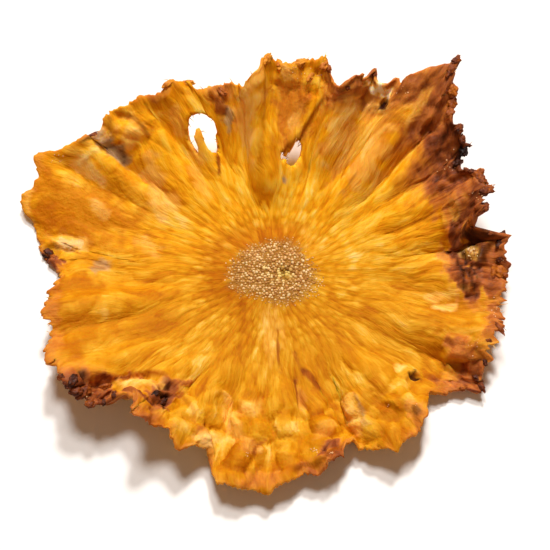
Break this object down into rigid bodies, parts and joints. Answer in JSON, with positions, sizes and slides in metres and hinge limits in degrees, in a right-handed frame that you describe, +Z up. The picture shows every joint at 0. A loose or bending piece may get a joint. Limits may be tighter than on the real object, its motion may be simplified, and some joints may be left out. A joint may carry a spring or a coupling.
{
  "type": "dried pineapple flower",
  "caption": "Thin fruit slice dried into a shallow ruffled cup, with a grained core, radial fibres, a ragged browned rim and small tears.",
  "frame": {"origin": "middle of the flat spot under the core, on the surface that the slice stands on", "axes": "+Z up out of the cup, +X to the slice's right and +Y to its far, higher side as the picture shows it"},
  "size_m": [0.0867, 0.0785, 0.018],
  "materials": {
    "dried_pineapple": "leathery dried fruit flesh, satin, yellow orange with browned edges"
  },
  "bodies": {
    "root": {"pineapple_flower": "dried_pineapple"}
  },
  "joints": []
}
